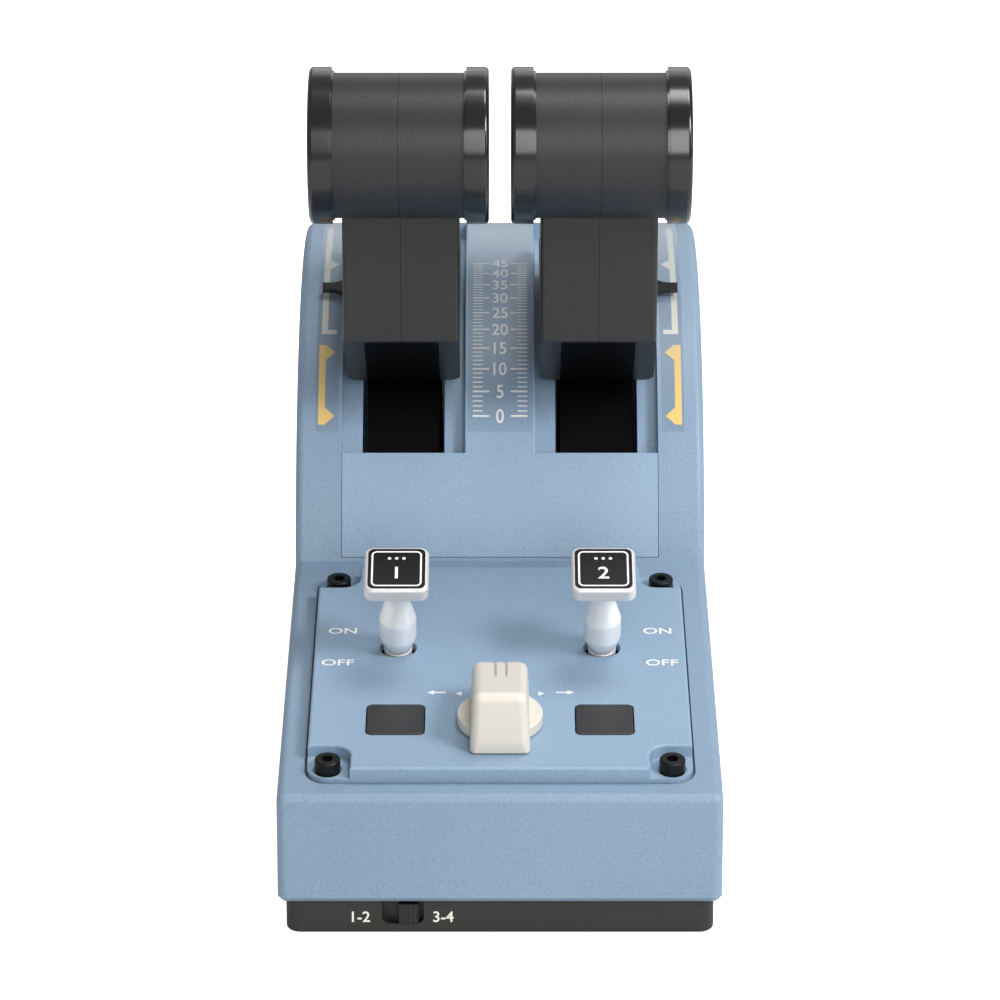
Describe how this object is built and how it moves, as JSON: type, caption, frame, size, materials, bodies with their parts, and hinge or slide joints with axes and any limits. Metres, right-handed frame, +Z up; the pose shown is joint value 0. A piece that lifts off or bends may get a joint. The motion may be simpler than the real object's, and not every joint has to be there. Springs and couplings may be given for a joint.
{
  "type": "throttle quadrant",
  "caption": "Desktop throttle quadrant with two hinged levers on a curved hump, a sloping panel with flip switches, push buttons and a rotary selector, and a flat base tray.",
  "frame": {"origin": "centre of the footprint on the surface that the feet stand on", "axes": "+Z up, +X to the pilot's right, +Y away from the pilot"},
  "size_m": [0.12, 0.256, 0.2091],
  "materials": {
    "blue_paint": "fine grained satin",
    "pale_blue_panel": "fine grained satin",
    "base_black": "satin moulded",
    "grip_grey": "fine matte",
    "gloss_black": "polished",
    "black_plastic": "matte",
    "cream": "satin",
    "red_plastic": "satin",
    "silver": "satin plated",
    "black_steel": "black oxide",
    "steel": "machined",
    "brass": "machined",
    "board_green": "solder mask",
    "rubber": "soft",
    "nylon": "natural"
  },
  "bodies": {
    "base": {"ballast_plate": "steel", "base_tray": "base_black", "case_screws": "black_steel", "control_panel": "pale_blue_panel", "detent_housings": "black_plastic", "detent_plungers": "nylon", "detent_springs": "steel", "friction_washers": "nylon", "hump_cover": "pale_blue_panel", "lever_tracks": "black_plastic", "main_board": "board_green", "main_shell": "blue_paint", "mode_switch": "black_plastic", "mount_inserts": "brass", "panel_board": "board_green", "panel_screws": "black_steel", "pivot_brackets": "black_plastic", "pivot_shaft": "steel", "rear_board": "board_green", "rotary_switch": "black_plastic", "rubber_feet": "rubber", "sensor_boards": "board_green", "shaft_nuts": "steel", "shaft_spacers": "nylon", "tact_switches": "black_plastic", "toggle_switches": "black_plastic", "usb_port": "steel"},
    "lever_left": {"lever_arm_left": "black_plastic", "handle_shell_outer_left": "grip_grey", "handle_shell_inner_left": "grip_grey", "handle_flanges_left": "gloss_black", "handle_caps_left": "base_black", "lever_pointer_left": "gloss_black", "hub_magnet_left": "steel", "handle_screws_left": "black_steel"},
    "disconnect_left": {"disconnect_button_left": "red_plastic"},
    "latch_left": {"reverse_latch_left": "base_black"},
    "toggle_left": {"toggle_stem_left": "silver", "toggle_cap_left": "silver", "toggle_legend_left": "gloss_black"},
    "push_left": {"push_button_left": "black_plastic"},
    "lever_right": {"lever_arm_right": "black_plastic", "handle_shell_outer_right": "grip_grey", "handle_shell_inner_right": "grip_grey", "handle_flanges_right": "gloss_black", "handle_caps_right": "base_black", "lever_pointer_right": "gloss_black", "hub_magnet_right": "steel", "handle_screws_right": "black_steel"},
    "disconnect_right": {"disconnect_button_right": "red_plastic"},
    "latch_right": {"reverse_latch_right": "base_black"},
    "toggle_right": {"toggle_stem_right": "silver", "toggle_cap_right": "silver", "toggle_legend_right": "gloss_black"},
    "push_right": {"push_button_right": "black_plastic"},
    "selector": {"selector_knob": "cream", "selector_shaft": "steel"},
    "mode_slide": {"mode_slider": "black_plastic"}
  },
  "joints": [
    {"name": "lever_left_swing", "type": "hinge", "parent": "base", "child": "lever_left", "pos_m": [-0.02845, 0.0963, 0.03335], "axis": [1, 0, 0], "range_deg": [-24, 29.5]},
    {"name": "disconnect_left_press", "type": "slide", "parent": "lever_left", "child": "disconnect_left", "axis": [1, 0, 0], "range_m": [0, 0.002], "stiffness_N_per_m": 400, "springref_m": -0.001},
    {"name": "latch_left_lift", "type": "slide", "parent": "lever_left", "child": "latch_left", "axis": [0, -0.5373, 0.8434], "range_m": [0, 0.006], "stiffness_N_per_m": 250, "springref_m": -0.003},
    {"name": "toggle_left_flip", "type": "hinge", "parent": "base", "child": "toggle_left", "pos_m": [-0.0286, -0.05623, 0.05504], "axis": [1, 0, 0], "range_deg": [-28.8, 0]},
    {"name": "push_left_press", "type": "slide", "parent": "base", "child": "push_left", "axis": [0, 0.1438, -0.9896], "range_m": [0, 0.0012], "stiffness_N_per_m": 400, "springref_m": -0.0008},
    {"name": "lever_right_swing", "type": "hinge", "parent": "base", "child": "lever_right", "pos_m": [0.02845, 0.0963, 0.03335], "axis": [1, 0, 0], "range_deg": [-24, 29.5]},
    {"name": "disconnect_right_press", "type": "slide", "parent": "lever_right", "child": "disconnect_right", "axis": [-1, 0, 0], "range_m": [0, 0.002], "stiffness_N_per_m": 400, "springref_m": -0.001},
    {"name": "latch_right_lift", "type": "slide", "parent": "lever_right", "child": "latch_right", "axis": [0, -0.5373, 0.8434], "range_m": [0, 0.006], "stiffness_N_per_m": 250, "springref_m": -0.003},
    {"name": "toggle_right_flip", "type": "hinge", "parent": "base", "child": "toggle_right", "pos_m": [0.0286, -0.05623, 0.05504], "axis": [1, 0, 0], "range_deg": [-28.8, 0]},
    {"name": "push_right_press", "type": "slide", "parent": "base", "child": "push_right", "axis": [0, 0.1438, -0.9896], "range_m": [0, 0.0012], "stiffness_N_per_m": 400, "springref_m": -0.0008},
    {"name": "selector_turn", "type": "hinge", "parent": "base", "child": "selector", "pos_m": [0, -0.09648, 0.0504], "axis": [0, -0.1438, 0.9896], "range_deg": [-45, 45]},
    {"name": "mode_slide_shift", "type": "slide", "parent": "base", "child": "mode_slide", "axis": [-1, 0, 0], "range_m": [0, 0.0031]}
  ]
}
